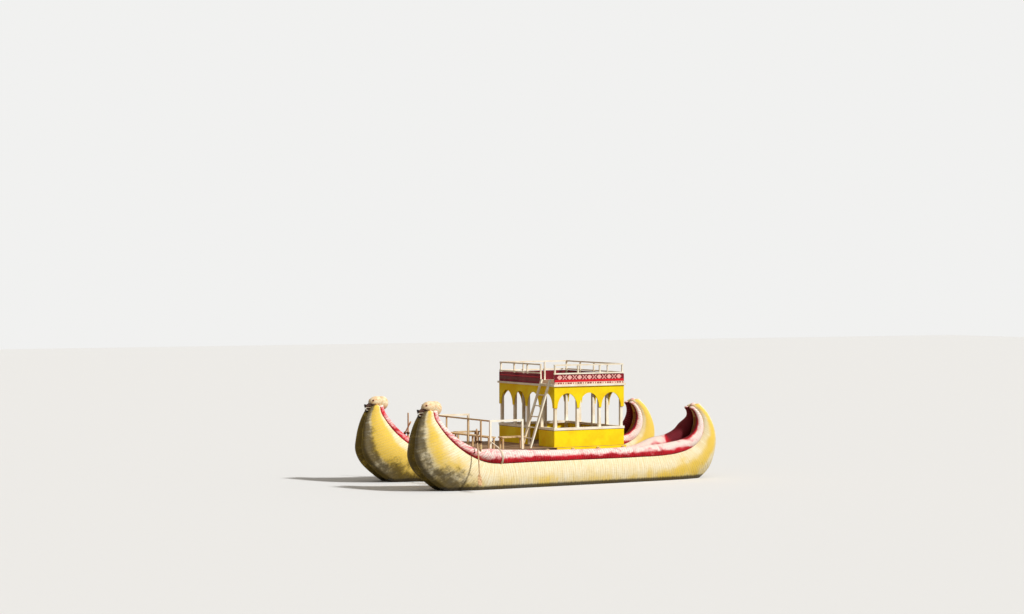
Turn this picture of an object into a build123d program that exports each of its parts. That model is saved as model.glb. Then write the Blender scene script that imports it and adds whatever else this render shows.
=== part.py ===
"""Twin-hull reed boat with a two-storey cabin and a pair of oars, millimetres.

+X is forward, +Y is to port, +Z is up. The origin is amidships, on the
waterline, midway between the two hulls.
"""
import os
from math import radians, tan

from build123d import *

# Hulls: two reed bundles side by side under two rolls, with a core between.
# Widths are at full section, heights are shares of the section's half height
hull_spacing = 3600
seat_inner = 240
seat_outer = 560
seat_outer_rise = 0.93
bundle_reach = 690
reach_rise = 0.15
bilge_half_width = 500
bilge_rise = -0.75
bottom_half_width = 300
bottom_inner = 140
bottom_inner_rise = -0.93
groove_top_rise = 0.62
groove_bottom_rise = -0.8
roll_offset = 400
core_share = 0.85
core_rise = 100
crest_rise = 130
crest_share = 0.9

# Beams and planks that join the hulls
beam_width = 100
beam_height = 70
beam_overhang = 75
beam_top = 1130
beam_count = 6
beam_aft_x = -2150
beam_fore_x = 2600
plank_thickness = 30
deck_half_width = 1900
deck_fore_x = 2740
foredeck_plank_count = 15
cabin_plank_count = 14
plank_gap = 6

# Cabin, lower storey
cabin_aft_x = -2305
cabin_length = 2635
cabin_width = 3500
side_bays = 3
end_bays = 4
door_bay = 2
ladder_bay = 3
post_size = 90
skin_thickness = 30
sill_height = 610
sill_thickness = 75
sill_overhang = 15
storey_height = 1930
arch_rise = 470
arch_head = 220

# Upper deck, parapet and rails
ledge_thickness = 60
ledge_overhang = 45
ledge_width = 190
upper_plank_count = 9
band_height = 310
band_thickness = 20
parapet_height = 640
parapet_post = 45
rail_section = 45
lower_rail_gap = 15

# Ladder
ladder_width = 600
ladder_stringer = 90
ladder_stringer_depth = 45
ladder_run = 680
ladder_rise_over = 150
rung_count = 6
rung_first = 300
rung_pitch = 360
rung_radius = 20

# Fore deck rails and benches
panel_setback = 40
panel_length = 1220
panel_inset = 160
panel_height = 940
panel_section = 60
front_rail_radius = 26
front_post_section = 42
front_post_y = [-1100, 330, 1150]
bench_height = 390
bench_plank = 40
bench_width = 280
bench_leg = 50
bench_past_ladder = 250
bench_gap = 125
side_bench_inset = 450
front_bench_back = 290
front_bench_inset = 500

# Oar gear on the outer roll of each hull
thole_x = 3390
thole_out = 600
thole_radius = 30
thole_tip_radius = 24
thole_shoulder = 60
thole_base = 1000
thole_top = 2150
collar_z = 1490
rope_radius = 12
collar_turns = 3
turn_overlap = 2
rope_sides = 8
oar_beside = 115
oar_radius = 22
oar_lean_out = 30
oar_lean_fore = 14
oar_above = 450
oar_below = 1050
blade_length = 460
blade_width = 150
blade_thickness = 22
pin_clearance = 0.6
neck_clearance = 4.05

# Hull shape, bow to stern: the top line and the keel line of each section in
# the hull's centre plane, the share of full width, and how high the rolls rise
STATION_COLUMNS = ["top_x", "top_z", "keel_x", "keel_z", "width", "outer_rise", "inner_rise"]
STATION_ROWS = [
    [4830, 2410, 5160, 2350, 0.42, 150, 140],
    [4800, 2230, 5300, 2080, 0.50, 150, 140],
    [4670, 2000, 5400, 1770, 0.62, 170, 150],
    [4470, 1730, 5460, 1430, 0.74, 200, 165],
    [4190, 1450, 5475, 1050, 0.86, 250, 190],
    [3880, 1220, 5300, 660, 0.94, 310, 210],
    [3560, 1050, 4860, 240, 0.97, 370, 225],
    [3250, 930, 4220, -150, 1.0, 400, 229.5],
    [3000, 860, 3500, -325, 1.0, 410, 229.5],
    [2700, 830, 2700, -375, 1.0, 400, 229.5],
    [1400, 830, 1400, -385, 1.0, 300, 229.5],
    [0, 830, 0, -390, 1.0, 258, 229.5],
    [-2500, 830, -2500, -385, 1.0, 275, 229.5],
    [-3430, 845, -3680, -350, 1.0, 320, 235],
    [-4000, 900, -4500, -240, 0.98, 350, 240],
    [-4430, 1000, -5080, 40, 0.95, 345, 240],
    [-4770, 1160, -5440, 380, 0.90, 315, 235],
    [-4990, 1380, -5640, 850, 0.83, 275, 220],
    [-5100, 1660, -5710, 1300, 0.74, 230, 195],
    [-5100, 1950, -5600, 1800, 0.62, 185, 165],
    [-5010, 2170, -5410, 2150, 0.50, 150, 140],
    [-4880, 2310, -5160, 2400, 0.40, 120, 115],
]
stations = [dict(zip(STATION_COLUMNS, row)) for row in STATION_ROWS]
core_stations = stations[3:20]
crest_stations = stations[18:]
tip_knob_radius = 95

# Prow head, in the hull's centre plane
head_x = 4670
head_z = 2530
head_radius = 220
brow_x = 4900
brow_z = 2540
brow_length = 200
brow_radius = 185
throat_back = 160
muzzle_length = 190
muzzle_width = 190
mouth_back = 50
jaw_forward = 55
jaw_drop = 90
jaw_height = 65
jaw_gap = 60

hull_y = hull_spacing / 2
thole_y = hull_y + thole_out
deck_z = beam_top + plank_thickness
cabin_fore_x = cabin_aft_x + cabin_length
half_cabin = cabin_width / 2
beam_half_length = deck_half_width + beam_overhang
spring_height = storey_height - arch_head - arch_rise
upper_deck_z = deck_z + storey_height + ledge_thickness
rail_top_z = upper_deck_z + parapet_height


def section(station):
    """Centre, direction up and half height of the hull's section at a station."""
    top = Vector(station["top_x"], 0, station["top_z"])
    keel = Vector(station["keel_x"], 0, station["keel_z"])
    up = (top - keel).normalized()
    half_height = (top - keel).length / 2
    return top - up * half_height, up, half_height


def across(origin, up):
    """Plane across the hull, its local x to port and its local y up the section."""
    return Plane(
        origin=(origin.X, hull_y, origin.Z), x_dir=(0, 1, 0), z_dir=(up.Z, 0, -up.X)
    )


def bundle(side):
    """One reed bundle: flat against its twin, with a flat seat for its roll."""
    with BuildPart() as half:
        for station in stations:
            centre, up, high = section(station)
            wide = side * station["width"]
            groove = (0, high * groove_top_rise)
            seat_start = (seat_inner * wide, high)
            seat_end = (seat_outer * wide, high * seat_outer_rise)
            bilge = (bilge_half_width * wide, high * bilge_rise)
            foot = (bottom_inner * wide, high * bottom_inner_rise)
            bottom = (0, high * groove_bottom_rise)
            with BuildSketch(across(centre, up)):
                with BuildLine():
                    Polyline(bottom, groove, seat_start, seat_end)
                    ThreePointArc(seat_end, (bundle_reach * wide, high * reach_rise), bilge)
                    ThreePointArc(bilge, (bottom_half_width * wide, -high), foot)
                    Line(foot, bottom)
                make_face()
        loft(ruled=True)
    return half


def roll(side, rise_column):
    """One roll along the hull's upper edge, on its bundle's seat."""
    with BuildPart() as whole:
        for station in stations:
            centre, up, high = section(station)
            wide = side * station["width"]
            seat_start = (seat_inner * wide, high)
            seat_end = (seat_outer * wide, high * seat_outer_rise)
            crown = (roll_offset * wide, high + station[rise_column])
            with BuildSketch(across(centre, up)):
                with BuildLine():
                    Line(seat_start, seat_end)
                    ThreePointArc(seat_end, crown, seat_start)
                make_face()
        loft(ruled=True)
    return whole


def wedge(sections, low, corner, crown_rise):
    """A bundle that fills the groove between its neighbours: two faces and a crown."""
    with BuildPart() as whole:
        for station in sections:
            centre, up, high = section(station)
            corner_x = corner[0] * station["width"]
            corner_y = high * corner[1]
            crown = (high if corner_y > 0 else -high) + crown_rise * station["width"]
            with BuildSketch(across(centre, up)):
                with BuildLine():
                    Polyline((-corner_x, corner_y), (0, high * low), (corner_x, corner_y))
                    ThreePointArc((corner_x, corner_y), (0, crown), (-corner_x, corner_y))
                make_face()
        loft(ruled=True)
    return whole


def egg(x, z, half_length, radius):
    """A lobe with its long axis fore and aft."""
    with BuildPart() as lobe:
        with BuildSketch(Plane((x, hull_y, z), x_dir=(1, 0, 0), z_dir=(0, -1, 0))):
            Ellipse(half_length, radius)
            with Locations((0, -radius)):
                Rectangle(2 * half_length, 2 * radius, mode=Mode.SUBTRACT)
        revolve(axis=Axis((x, hull_y, z), (1, 0, 0)), revolution_arc=360)
    return lobe.part


parts = {}

# Port hull
beam_xs = [
    beam_aft_x + (beam_fore_x - beam_aft_x) * i / (beam_count - 1)
    for i in range(beam_count)
]
with BuildPart() as crossbeams:
    for x in beam_xs:
        with Locations((x, 0, beam_top - beam_height / 2)):
            Box(beam_width, 2 * beam_half_length, beam_height)
parts["crossbeams"] = crossbeams

outer_bundle = bundle(1)
inner_bundle = bundle(-1)
inner_roll = roll(-1, "inner_rise")
with BuildPart() as outer_roll:
    add(roll(1, "outer_rise").part)
    with Locations((thole_x, thole_y, (thole_base + thole_top) / 2)):
        Cylinder(thole_radius, thole_top - thole_base, mode=Mode.SUBTRACT)
core_corner = (
    seat_inner * core_share,
    groove_top_rise + (1 - groove_top_rise) * core_share,
)
core_bundle = wedge(core_stations, groove_top_rise, core_corner, core_rise)
crest_corner = (
    bottom_inner * crest_share,
    groove_bottom_rise + (bottom_inner_rise - groove_bottom_rise) * crest_share,
)
stern_end, stern_up, stern_high = section(stations[-1])
with BuildPart() as stern_crest:
    add(wedge(crest_stations, groove_bottom_rise, crest_corner, -crest_rise).part)

with BuildPart() as stern_tip:
    with Locations((stern_end.X, hull_y, stern_end.Z)):
        Sphere(tip_knob_radius)
    split(bisect_by=across(stern_end, stern_up), keep=Keep.BOTTOM)

# Prow head of twisted reed on the neck's end, with a muzzle that faces forward
neck_end, neck_up, neck_high = section(stations[0])
neck_plane = across(neck_end, neck_up)
with BuildPart() as prow_head:
    with Locations((head_x, hull_y, head_z)):
        Sphere(head_radius)
    add(egg(brow_x, brow_z, brow_length, brow_radius))
    split(bisect_by=neck_plane, keep=Keep.TOP)
chin = neck_end - neck_up * neck_high
throat = neck_end - neck_up * (neck_high - throat_back)
with BuildPart() as prow_muzzle:
    with BuildSketch(Plane((0, hull_y, 0), x_dir=(1, 0, 0), z_dir=(0, -1, 0))):
        with BuildLine():
            Polyline(
                (throat.X, throat.Z),
                (chin.X, chin.Z),
                (chin.X + jaw_forward, chin.Z - jaw_drop),
                (chin.X + muzzle_length, chin.Z - jaw_drop),
                (chin.X + muzzle_length, chin.Z - jaw_drop + jaw_height),
                (chin.X + mouth_back, chin.Z + jaw_gap / 2),
                (chin.X + muzzle_length, chin.Z + jaw_gap),
                (chin.X + muzzle_length, chin.Z + jaw_gap + jaw_height),
                (throat.X, throat.Z + jaw_gap + jaw_height),
                close=True,
            )
        make_face()
    extrude(amount=muzzle_width / 2, both=True)
    add(prow_head.part, mode=Mode.SUBTRACT)

port_hull = {
    "outer_bundle": outer_bundle,
    "inner_bundle": inner_bundle,
    "core_bundle": core_bundle,
    "outer_roll": outer_roll,
    "inner_roll": inner_roll,
    "stern_crest": stern_crest,
    "stern_tip": stern_tip,
    "prow_head": prow_head,
    "prow_muzzle": prow_muzzle,
}

# Oar gear: a post set in the roll, a rope collar round it and the oar
shoulder_z = collar_z + thole_shoulder
with BuildPart() as thole_post:
    with Locations((thole_x, thole_y, (thole_base + shoulder_z) / 2)):
        Cylinder(thole_radius, shoulder_z - thole_base)
    with Locations((thole_x, thole_y, (shoulder_z + thole_top) / 2)):
        Cylinder(thole_tip_radius, thole_top - shoulder_z)
    fillet(thole_post.edges().group_by(Axis.Z)[-1], thole_tip_radius / 2)

pivot = Vector(thole_x + oar_beside, thole_y, collar_z)
oar_down = Vector(tan(radians(oar_lean_fore)), tan(radians(oar_lean_out)), -1).normalized()
oar_side = Vector(-oar_down.Z, 0, oar_down.X).normalized()
oar_plane = Plane(origin=pivot, x_dir=oar_side, z_dir=oar_down)
post_ring = thole_radius + pin_clearance + rope_radius
lashing_ring = oar_radius + rope_radius


def turns_of_rope(ring_radius):
    """Turns of rope round a pole that stands on the origin, one above the other."""
    with BuildPart() as rope:
        with BuildSketch(Plane.XZ):
            for turn in range(collar_turns):
                lift = (turn - (collar_turns - 1) / 2) * (2 * rope_radius - turn_overlap)
                with Locations((ring_radius, lift)):
                    RegularPolygon(
                        rope_radius, rope_sides, major_radius=False, rotation=180 / rope_sides
                    )
        revolve(axis=Axis.Z)
    return rope.part


collar_ring = turns_of_rope(post_ring)
lashing = turns_of_rope(lashing_ring)
with BuildPart() as rope_collar:
    with Locations((thole_x, thole_y, collar_z)):
        add(collar_ring)
    neck_start = Plane((thole_x + post_ring, thole_y, collar_z), x_dir=(0, 1, 0), z_dir=(1, 0, 0))
    with BuildSketch(neck_start):
        Circle(rope_radius)
    extrude(amount=oar_beside - post_ring - lashing_ring - rope_radius - neck_clearance)
with BuildPart() as oar_lashing:
    with Locations(oar_plane):
        add(lashing)
with BuildPart() as oar_shaft:
    with BuildSketch(oar_plane.offset(-oar_above)):
        Circle(oar_radius)
    extrude(amount=oar_above + oar_below)
with BuildPart() as oar_blade:
    with BuildSketch(oar_plane.offset(oar_below)):
        Rectangle(blade_width, blade_thickness)
    extrude(amount=blade_length)
port_gear = {
    "thole_post": thole_post,
    "rope_collar": rope_collar,
    "oar_lashing": oar_lashing,
    "oar_shaft": oar_shaft,
    "oar_blade": oar_blade,
}
for name, piece in {**port_hull, **port_gear}.items():
    parts["port_" + name] = piece
    with BuildPart() as starboard:
        add(mirror(piece.part, about=Plane.XZ, mode=Mode.PRIVATE))
    parts["stbd_" + name] = starboard

# Decks
def planks(aft_x, fore_x, half_width, count, top_z, thickness):
    """Boards laid fore and aft, side by side."""
    pitch = 2 * half_width / count
    with BuildPart() as deck:
        centre = ((aft_x + fore_x) / 2, 0, top_z - thickness / 2)
        with Locations(centre):
            with GridLocations(1, pitch, 1, count):
                Box(fore_x - aft_x, pitch - plank_gap, thickness)
    return deck


parts["foredeck"] = planks(
    cabin_fore_x, deck_fore_x, deck_half_width, foredeck_plank_count, deck_z, plank_thickness
)
parts["cabin_floor"] = planks(
    cabin_aft_x, cabin_fore_x - plank_gap, deck_half_width, cabin_plank_count, deck_z,
    plank_thickness,
)

# Cabin columns: their centres along the sides and across the ends, inside the skin
column_inset = skin_thickness + post_size / 2
side_pitch = (cabin_length - 2 * column_inset) / side_bays
end_pitch = (cabin_width - 2 * column_inset) / end_bays
side_xs = [cabin_aft_x + column_inset + i * side_pitch for i in range(side_bays + 1)]
end_ys = [-half_cabin + column_inset + i * end_pitch for i in range(end_bays + 1)]
columns = [(x, y) for x in side_xs for y in (end_ys[0], end_ys[-1])]
columns += [(x, y) for x in (side_xs[0], side_xs[-1]) for y in end_ys[1:-1]]
side_mid = cabin_aft_x + cabin_length / 2
with BuildPart() as cabin_posts:
    with Locations([(x, y, deck_z + storey_height / 2) for x, y in columns]):
        Box(post_size, post_size, storey_height)
parts["cabin_posts"] = cabin_posts

# Walls: each has its plane's outer side, its run along the wall and its bays
door_start = end_ys[door_bay] + post_size / 2
door_end = end_ys[door_bay + 1] - post_size / 2
door_middle = (door_start + door_end) / 2
inner_half = half_cabin - skin_thickness
side_runs = {"port": half_cabin, "stbd": -half_cabin}
end_runs = {
    "front_stbd": (cabin_fore_x, -inner_half, door_start),
    "front_port": (cabin_fore_x, door_end, inner_half),
    "aft": (cabin_aft_x, -inner_half, inner_half),
}
dado_height = sill_height - sill_thickness
for name, face_y in side_runs.items():
    inward = -1 if face_y > 0 else 1
    with BuildPart() as dado:
        with Locations((side_mid, face_y + inward * skin_thickness / 2, deck_z + dado_height / 2)):
            Box(cabin_length, skin_thickness, dado_height)
    parts["dado_" + name] = dado
for name, (face_x, start, end) in end_runs.items():
    inward = -1 if face_x > side_mid else 1
    middle = (face_x + inward * skin_thickness / 2, (start + end) / 2, deck_z + dado_height / 2)
    with BuildPart() as dado:
        with Locations(middle):
            Box(skin_thickness, end - start, dado_height)
    parts["dado_" + name] = dado

# Sills: a cap rail on the dados, notched round the posts, open at the doorway
sill_depth = skin_thickness + post_size + 2 * sill_overhang
with BuildPart() as window_sills:
    with BuildSketch(Plane.XY.offset(deck_z + dado_height)):
        with Locations((side_mid, 0)):
            Rectangle(cabin_length + 2 * sill_overhang, cabin_width + 2 * sill_overhang)
            Rectangle(
                cabin_length + 2 * sill_overhang - 2 * sill_depth,
                cabin_width + 2 * sill_overhang - 2 * sill_depth,
                mode=Mode.SUBTRACT,
            )
        with Locations(columns):
            Rectangle(post_size, post_size, mode=Mode.SUBTRACT)
        with Locations((cabin_fore_x, door_middle)):
            Rectangle(2 * sill_depth, door_end - door_start, mode=Mode.SUBTRACT)
    extrude(amount=sill_thickness)
parts["window_sills"] = window_sills

# Arch boards: the skin above the springing line, on the outside of the posts
board_height = storey_height - spring_height


def arch_board(plane, length, centres, pitch):
    """Board with an arched opening between each pair of posts, on a plane at its foot."""
    with BuildPart() as board:
        with BuildSketch(plane):
            with Locations((0, board_height / 2)):
                Rectangle(length, board_height)
            with Locations([(centre, 0) for centre in centres]):
                Ellipse((pitch - post_size) / 2, arch_rise, mode=Mode.SUBTRACT)
        extrude(amount=skin_thickness)
    return board


side_centres = [(a + b) / 2 - side_mid for a, b in zip(side_xs, side_xs[1:])]
end_centres = [(a + b) / 2 for a, b in zip(end_ys, end_ys[1:])]
spring_z = deck_z + spring_height
for name, face_y in side_runs.items():
    start_y = inner_half if face_y > 0 else -half_cabin
    plane = Plane((side_mid, start_y, spring_z), x_dir=(-1, 0, 0), z_dir=(0, 1, 0))
    parts["arches_" + name] = arch_board(plane, cabin_length, side_centres, side_pitch)
for name, start_x in (("front", cabin_fore_x - skin_thickness), ("aft", cabin_aft_x)):
    plane = Plane((start_x, 0, spring_z), x_dir=(0, 1, 0), z_dir=(1, 0, 0))
    parts["arches_" + name] = arch_board(plane, 2 * inner_half, end_centres, end_pitch)

# Upper deck inside its ledge, on the arch boards
with BuildPart() as ledge:
    with BuildSketch(Plane.XY.offset(upper_deck_z - ledge_thickness)):
        with Locations((side_mid, 0)):
            Rectangle(cabin_length + 2 * ledge_overhang, cabin_width + 2 * ledge_overhang)
            Rectangle(
                cabin_length + 2 * ledge_overhang - 2 * ledge_width,
                cabin_width + 2 * ledge_overhang - 2 * ledge_width,
                mode=Mode.SUBTRACT,
            )
    extrude(amount=ledge_thickness)
parts["ledge"] = ledge
deck_inset = ledge_width - ledge_overhang
parts["upper_deck"] = planks(
    cabin_aft_x + deck_inset,
    cabin_fore_x - deck_inset,
    half_cabin - deck_inset,
    upper_plank_count,
    upper_deck_z,
    ledge_thickness,
)

# Parapet: posts over the cabin's columns, a band board outside them and rails
ladder_y = (end_ys[ladder_bay] + end_ys[ladder_bay + 1]) / 2
opening_start = end_ys[ladder_bay] + parapet_post / 2
parapet_inset = band_thickness + parapet_post / 2
fore_post_x = cabin_fore_x - parapet_inset
aft_post_x = cabin_aft_x + parapet_inset
side_post_y = half_cabin - parapet_inset
post_xs = [aft_post_x] + side_xs[1:-1] + [fore_post_x]
post_ys = [-side_post_y] + end_ys[1:-1] + [side_post_y]
parapet_spots = [(x, y) for x in post_xs for y in (post_ys[0], post_ys[-1])]
parapet_spots += [(x, y) for x in (post_xs[0], post_xs[-1]) for y in post_ys[1:-1]]
parapet_post_height = parapet_height - rail_section
with BuildPart() as parapet_posts:
    with Locations([(x, y, upper_deck_z + parapet_post_height / 2) for x, y in parapet_spots]):
        Box(parapet_post, parapet_post, parapet_post_height)
parts["parapet_posts"] = parapet_posts
band_z = upper_deck_z + band_height / 2
for name, face_y in side_runs.items():
    inward = -1 if face_y > 0 else 1
    with BuildPart() as band:
        with Locations((side_mid, face_y + inward * band_thickness / 2, band_z)):
            Box(cabin_length, band_thickness, band_height)
    parts["parapet_" + name] = band
band_half = half_cabin - band_thickness
for name, x, end in (
    ("front", cabin_fore_x - band_thickness / 2, opening_start),
    ("aft", cabin_aft_x + band_thickness / 2, band_half),
):
    with BuildPart() as band:
        with Locations((x, (end - band_half) / 2, band_z)):
            Box(band_thickness, end + band_half, band_height)
    parts["parapet_" + name] = band


def rail_ring(base_z, outer_inset, width):
    """A rail all round the parapet, open at the ladder's bay."""
    with BuildPart() as ring:
        with BuildSketch(Plane.XY.offset(base_z)):
            with Locations((side_mid, 0)):
                Rectangle(cabin_length - 2 * outer_inset, cabin_width - 2 * outer_inset)
                Rectangle(
                    cabin_length - 2 * outer_inset - 2 * width,
                    cabin_width - 2 * outer_inset - 2 * width,
                    mode=Mode.SUBTRACT,
                )
            gap_end = side_post_y - parapet_post / 2
            with Locations((cabin_fore_x, (opening_start + gap_end) / 2)):
                Rectangle(
                    4 * (outer_inset + width), gap_end - opening_start, mode=Mode.SUBTRACT
                )
        extrude(amount=rail_section)
    return ring


# The lower rail is fixed outside the posts, over the band, and the top rail on them
parts["lower_rails"] = rail_ring(
    upper_deck_z + band_height + lower_rail_gap, 0, band_thickness
)
parts["top_rail"] = rail_ring(
    rail_top_z - rail_section, band_thickness / 2, parapet_post + band_thickness / 2
)

# Ladder, leaning on the ledge at the parapet's opening
ladder_top = Vector(cabin_fore_x + ledge_overhang, 0, upper_deck_z)
ladder_foot = Vector(ladder_top.X + ladder_run, 0, deck_z)
ladder_up = (ladder_top - ladder_foot).normalized()
ladder_out = Vector(ladder_up.Z, 0, -ladder_up.X)
ladder_length = (ladder_top - ladder_foot).length + ladder_rise_over
ladder_origin = ladder_foot + ladder_out * (ladder_stringer_depth / 2)
ladder_plane = Plane(
    origin=(ladder_origin.X, ladder_y, ladder_origin.Z), x_dir=(0, 1, 0), z_dir=ladder_up
)
stringer_centre = (ladder_width - ladder_stringer) / 2
with BuildPart() as ladder_stringers:
    with BuildSketch(ladder_plane.offset(-ladder_stringer_depth)):
        with GridLocations(2 * stringer_centre, 1, 2, 1):
            Rectangle(ladder_stringer, ladder_stringer_depth)
    extrude(amount=ladder_length + ladder_stringer_depth)
    split(bisect_by=Plane.XY.offset(deck_z), keep=Keep.TOP)
with BuildPart() as ladder_rungs:
    for rung in range(rung_count):
        along = rung_first + rung * rung_pitch
        centre = ladder_origin + ladder_up * along
        with Locations(Plane((centre.X, ladder_y, centre.Z), x_dir=(1, 0, 0), z_dir=(0, 1, 0))):
            Cylinder(rung_radius, ladder_width - 2 * ladder_stringer)
parts["ladder_stringers"] = ladder_stringers
parts["ladder_rungs"] = ladder_rungs

# Fore deck rails
panel_fore_x = deck_fore_x - panel_setback
panel_aft_x = panel_fore_x - panel_length
panel_half_y = deck_half_width - panel_inset
for name, y in (("port", panel_half_y), ("stbd", -panel_half_y)):
    with BuildPart() as panel:
        for x in (panel_aft_x + panel_section / 2, panel_fore_x - panel_section / 2):
            with Locations((x, y, deck_z + panel_height / 2)):
                Box(panel_section, panel_section, panel_height)
        with Locations(((panel_aft_x + panel_fore_x) / 2, y, deck_z + panel_height - panel_section / 2)):
            Box(panel_length, panel_section, panel_section)
    parts["rail_panel_" + name] = panel
front_rail_x = panel_fore_x - panel_section / 2
front_rail_z = deck_z + panel_height - panel_section / 2
with BuildPart() as front_rail:
    with Locations(Plane((front_rail_x, 0, front_rail_z), x_dir=(1, 0, 0), z_dir=(0, 1, 0))):
        Cylinder(front_rail_radius, 2 * panel_half_y - panel_section)
    for y in front_post_y:
        with Locations((front_rail_x, y, (deck_z + front_rail_z) / 2)):
            Box(front_post_section, front_post_section, front_rail_z - deck_z)
parts["front_rail"] = front_rail

# Benches round the fore deck
bench_z = deck_z + bench_height
leg_height = bench_height - bench_plank
front_bench_x = panel_fore_x - front_bench_back
front_bench_half_length = deck_half_width - front_bench_inset
side_bench_y = deck_half_width - side_bench_inset
side_bench_aft_x = ladder_foot.X + bench_past_ladder
side_bench_fore_x = front_bench_x - bench_width / 2 - bench_gap


def bench(centre_x, centre_y, size_x, size_y, leg_pairs=2):
    """A plank on two legs at each end, and more between where it is long."""
    with BuildPart() as seat:
        with Locations((centre_x, centre_y, bench_z - bench_plank / 2)):
            Box(size_x, size_y, bench_plank)
        with Locations((centre_x, centre_y, deck_z + leg_height / 2)):
            leg_pitch = (size_y - 2 * bench_leg) / (leg_pairs - 1)
            with GridLocations(size_x - 2 * bench_leg, leg_pitch, 2, leg_pairs):
                Box(bench_leg, bench_leg, leg_height)
    return seat


side_bench_length = side_bench_fore_x - side_bench_aft_x
side_bench_mid = (side_bench_fore_x + side_bench_aft_x) / 2
parts["bench_port"] = bench(side_bench_mid, side_bench_y, side_bench_length, bench_width)
parts["bench_stbd"] = bench(side_bench_mid, -side_bench_y, side_bench_length, bench_width)
parts["bench_front"] = bench(
    front_bench_x, 0, bench_width, 2 * front_bench_half_length, leg_pairs=3
)

os.makedirs("parts", exist_ok=True)
for name, piece in parts.items():
    piece.part.label = name
    export_step(piece.part, f"parts/{name}.step")
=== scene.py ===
import random
from math import cos, pi, radians, sin, sqrt, tan, tau

import bmesh
import bpy
import numpy as np
from mathutils import Euler, Matrix, Vector


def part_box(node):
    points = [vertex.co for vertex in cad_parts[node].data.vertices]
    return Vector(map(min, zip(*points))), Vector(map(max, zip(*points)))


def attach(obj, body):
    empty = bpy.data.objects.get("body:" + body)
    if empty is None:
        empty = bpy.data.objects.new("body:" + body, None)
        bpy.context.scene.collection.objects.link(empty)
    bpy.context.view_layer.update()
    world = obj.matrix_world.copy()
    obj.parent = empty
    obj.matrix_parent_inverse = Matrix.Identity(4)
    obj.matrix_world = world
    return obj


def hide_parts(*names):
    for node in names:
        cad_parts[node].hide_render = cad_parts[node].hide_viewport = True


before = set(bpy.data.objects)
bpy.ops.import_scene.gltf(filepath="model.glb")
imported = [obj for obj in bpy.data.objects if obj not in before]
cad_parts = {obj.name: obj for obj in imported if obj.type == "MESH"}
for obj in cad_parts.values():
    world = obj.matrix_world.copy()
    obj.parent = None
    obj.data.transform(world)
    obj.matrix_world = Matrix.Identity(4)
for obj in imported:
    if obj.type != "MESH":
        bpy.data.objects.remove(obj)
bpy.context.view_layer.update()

# Camera: a long lens far off the port bow, a little above the rails
CAMERA_AZIMUTH = 59.06
CAMERA_DISTANCE = 73.07
CAMERA_HEIGHT = 6.37
CAMERA_PAN = 0.585
CAMERA_PITCH = -0.6
CAMERA_LENS = 79.1
CAMERA_SENSOR = 36.0

# Hull sections, bow to stern, in metres: the top line and the keel line in the hull's
# centre plane, the share of full width, and how high the outer and the inner roll rise
STATIONS = np.array([
    [4.83, 2.41, 5.16, 2.35, 0.42, 0.15, 0.14],
    [4.80, 2.23, 5.30, 2.08, 0.50, 0.15, 0.14],
    [4.67, 2.00, 5.40, 1.77, 0.62, 0.17, 0.15],
    [4.47, 1.73, 5.46, 1.43, 0.74, 0.20, 0.165],
    [4.19, 1.45, 5.475, 1.05, 0.86, 0.25, 0.19],
    [3.88, 1.22, 5.30, 0.66, 0.94, 0.31, 0.21],
    [3.56, 1.05, 4.86, 0.24, 0.97, 0.37, 0.225],
    [3.25, 0.93, 4.22, -0.15, 1.0, 0.40, 0.2295],
    [3.00, 0.86, 3.50, -0.325, 1.0, 0.41, 0.2295],
    [2.70, 0.83, 2.70, -0.375, 1.0, 0.40, 0.2295],
    [1.40, 0.83, 1.40, -0.385, 1.0, 0.30, 0.2295],
    [0.0, 0.83, 0.0, -0.39, 1.0, 0.258, 0.2295],
    [-2.50, 0.83, -2.50, -0.385, 1.0, 0.275, 0.2295],
    [-3.43, 0.845, -3.68, -0.35, 1.0, 0.32, 0.235],
    [-4.00, 0.90, -4.50, -0.24, 0.98, 0.35, 0.24],
    [-4.43, 1.00, -5.08, 0.04, 0.95, 0.345, 0.24],
    [-4.77, 1.16, -5.44, 0.38, 0.90, 0.315, 0.235],
    [-4.99, 1.38, -5.64, 0.85, 0.83, 0.275, 0.22],
    [-5.10, 1.66, -5.71, 1.30, 0.74, 0.23, 0.195],
    [-5.10, 1.95, -5.60, 1.80, 0.62, 0.185, 0.165],
    [-5.01, 2.17, -5.41, 2.15, 0.50, 0.15, 0.14],
    [-4.88, 2.31, -5.16, 2.40, 0.40, 0.12, 0.115],
])
TOP, KEEL, WIDTH, OUTER_RISE, INNER_RISE = slice(0, 2), slice(2, 4), 4, 5, 6
HULL_Y = 1.8

# Where a bundle's seat and groove lie, as shares of the section's width and half height
SEAT_INNER, SEAT_OUTER, SEAT_RISE = 0.24, 0.56, 0.93
GROOVE_TOP, GROOVE_BOTTOM = 0.62, -0.8
CORE_SHARE, CREST_WIDTH, CREST_DEPTH, CREST_SHARE = 0.85, 0.14, 0.13, 0.9

# How much fuller the rolls are here than in the CAD
AMIDSHIPS_LIFT, POST_LIFT, ABAFT_LIFT = 0.03, 0.034, 0.25

# Reeds and the ropes round them: the skin lies a little inside the CAD's surface at a rope
WRAP_PITCH, WRAP_STRIDE = 0.085, 0.01
ROPE_RADIUS, ROPE_SIDES = 0.0035, 4
REED_BULGE, SKIN_SINK = 0.0035, 0.003

# A skin's rings between two ropes, as shares of the way and of the bulge, and the rings that
# round its ends, as shares of the rim's size and of the dome's height
SWELL = ((0.14, 0.75), (0.5, 1.0), (0.86, 0.75))
DOME = ((0.94, 0.35), (0.8, 0.65), (0.55, 0.88), (0.25, 0.98))

# The port hull's rolls are paler, and the starboard hull's reeds are more golden
BLEACH, GOLD = {1: 0.78, -1: 0.45}, {1: 0.0, -1: 0.3}

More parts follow.
